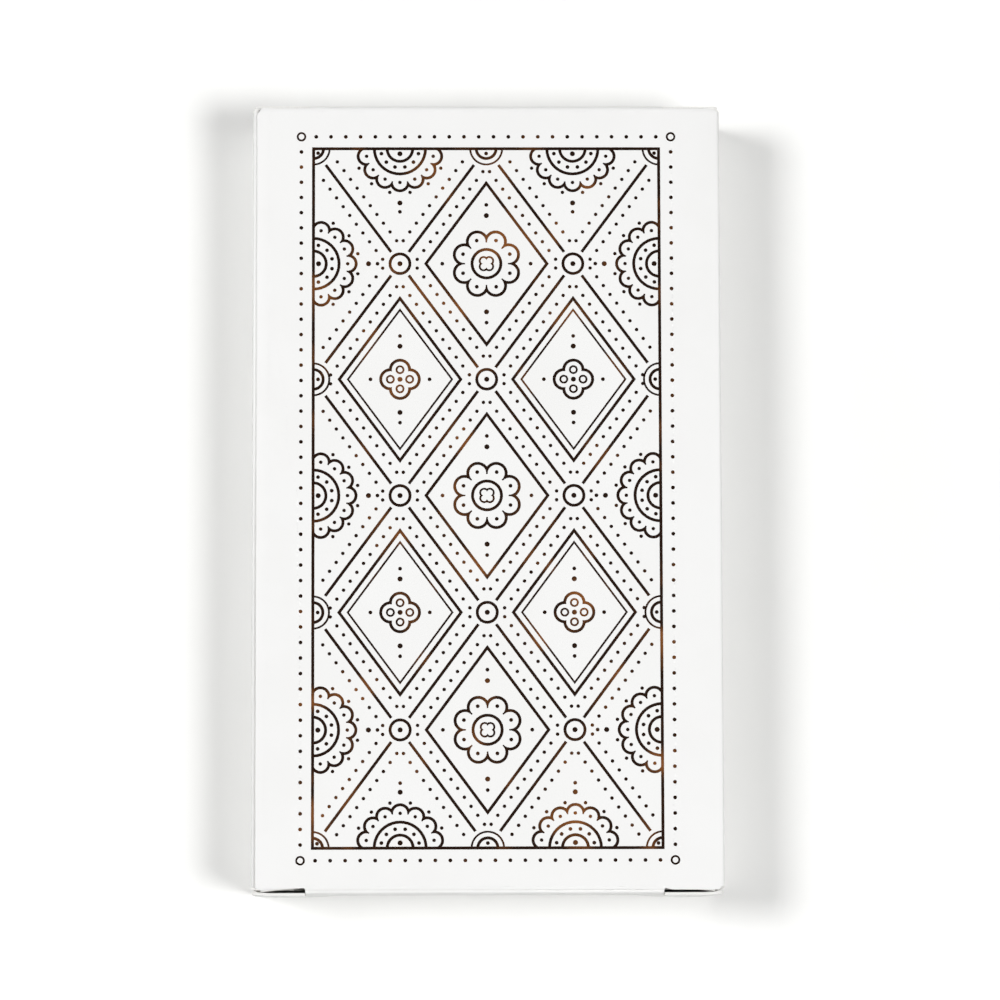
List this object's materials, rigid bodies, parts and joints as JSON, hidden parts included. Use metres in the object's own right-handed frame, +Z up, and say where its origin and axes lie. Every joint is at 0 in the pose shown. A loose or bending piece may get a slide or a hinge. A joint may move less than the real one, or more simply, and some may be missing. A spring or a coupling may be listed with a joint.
{
  "type": "oracle card deck in a tuck box",
  "caption": "Boxed deck of tall cards: a white folding carton with hinged tuck lids and dust flaps at both ends, foil line ornament on its front, and loose cards stacked inside.",
  "frame": {"origin": "middle of the back panel's outer face, which the box lies on", "axes": "+Z up out of the printed front panel, +Y along the box towards its far end, +X across it to the right"},
  "size_m": [0.073, 0.123, 0.019],
  "materials": {
    "carton_board": "matte",
    "card_stock": "satin",
    "copper_foil": "satin"
  },
  "bodies": {
    "carton": {"front_panel": "carton_board", "back_panel": "carton_board", "left_side_panel": "carton_board", "right_side_panel": "carton_board", "glue_flap": "carton_board"},
    "near_lid": {"near_lid": "carton_board"},
    "near_tuck_flap": {"near_tuck_flap": "carton_board"},
    "near_left_dust_flap": {"near_left_dust_flap": "carton_board"},
    "near_right_dust_flap": {"near_right_dust_flap": "carton_board"},
    "far_lid": {"far_lid": "carton_board"},
    "far_tuck_flap": {"far_tuck_flap": "carton_board"},
    "far_left_dust_flap": {"far_left_dust_flap": "carton_board"},
    "far_right_dust_flap": {"far_right_dust_flap": "carton_board"},
    "deck": {"card_01": "card_stock", "card_02": "card_stock", "card_03": "card_stock", "card_04": "card_stock", "card_05": "card_stock", "card_06": "card_stock", "card_07": "card_stock", "card_08": "card_stock", "card_09": "card_stock", "card_10": "card_stock", "card_11": "card_stock", "card_12": "card_stock", "card_13": "card_stock", "card_14": "card_stock", "card_15": "card_stock", "card_16": "card_stock", "card_17": "card_stock", "card_18": "card_stock", "card_19": "card_stock", "card_20": "card_stock", "card_21": "card_stock", "card_22": "card_stock", "card_23": "card_stock", "card_24": "card_stock", "card_25": "card_stock", "card_26": "card_stock", "card_27": "card_stock", "card_28": "card_stock", "card_29": "card_stock", "card_30": "card_stock", "card_31": "card_stock", "card_32": "card_stock", "card_33": "card_stock", "card_34": "card_stock", "card_35": "card_stock", "card_36": "card_stock", "card_37": "card_stock", "card_38": "card_stock", "card_39": "card_stock", "card_40": "card_stock", "card_41": "card_stock", "card_42": "card_stock", "card_43": "card_stock", "card_44": "card_stock"}
  },
  "joints": [
    {"name": "near_lid_hinge", "type": "hinge", "parent": "carton", "child": "near_lid", "pos_m": [0, -0.06128, 0.00022], "axis": [1, 0, 0], "range_deg": [0, 90]},
    {"name": "near_tuck_hinge", "type": "hinge", "parent": "near_lid", "child": "near_tuck_flap", "pos_m": [0, -0.06128, 0.01733], "axis": [1, 0, 0], "range_deg": [-45, 0]},
    {"name": "near_left_dust_hinge", "type": "hinge", "parent": "carton", "child": "near_left_dust_flap", "pos_m": [-0.03628, -0.06078, 0.0095], "axis": [0, 0, -1], "range_deg": [0, 36]},
    {"name": "near_right_dust_hinge", "type": "hinge", "parent": "carton", "child": "near_right_dust_flap", "pos_m": [0.03628, -0.06078, 0.0095], "axis": [0, 0, 1], "range_deg": [0, 36]},
    {"name": "far_lid_hinge", "type": "hinge", "parent": "carton", "child": "far_lid", "pos_m": [0, 0.06128, 0.00022], "axis": [-1, 0, 0], "range_deg": [0, 90]},
    {"name": "far_tuck_hinge", "type": "hinge", "parent": "far_lid", "child": "far_tuck_flap", "pos_m": [0, 0.06128, 0.01733], "axis": [-1, 0, 0], "range_deg": [-45, 0]},
    {"name": "far_left_dust_hinge", "type": "hinge", "parent": "carton", "child": "far_left_dust_flap", "pos_m": [-0.03628, 0.06078, 0.0095], "axis": [0, 0, 1], "range_deg": [0, 36]},
    {"name": "far_right_dust_hinge", "type": "hinge", "parent": "carton", "child": "far_right_dust_flap", "pos_m": [0.03628, 0.06078, 0.0095], "axis": [0, 0, -1], "range_deg": [0, 36]},
    {"name": "deck_slide", "type": "slide", "parent": "carton", "child": "deck", "axis": [0, 1, 0], "range_m": [-0.00035, 0.00035]}
  ],
  "couplings": [
    {"joint": "near_tuck_hinge", "follows": "near_lid_hinge", "ratio": -0.5},
    {"joint": "near_left_dust_hinge", "follows": "near_lid_hinge", "ratio": 0.4},
    {"joint": "near_right_dust_hinge", "follows": "near_lid_hinge", "ratio": 0.4},
    {"joint": "far_tuck_hinge", "follows": "far_lid_hinge", "ratio": -0.5},
    {"joint": "far_left_dust_hinge", "follows": "far_lid_hinge", "ratio": 0.4},
    {"joint": "far_right_dust_hinge", "follows": "far_lid_hinge", "ratio": 0.4}
  ]
}
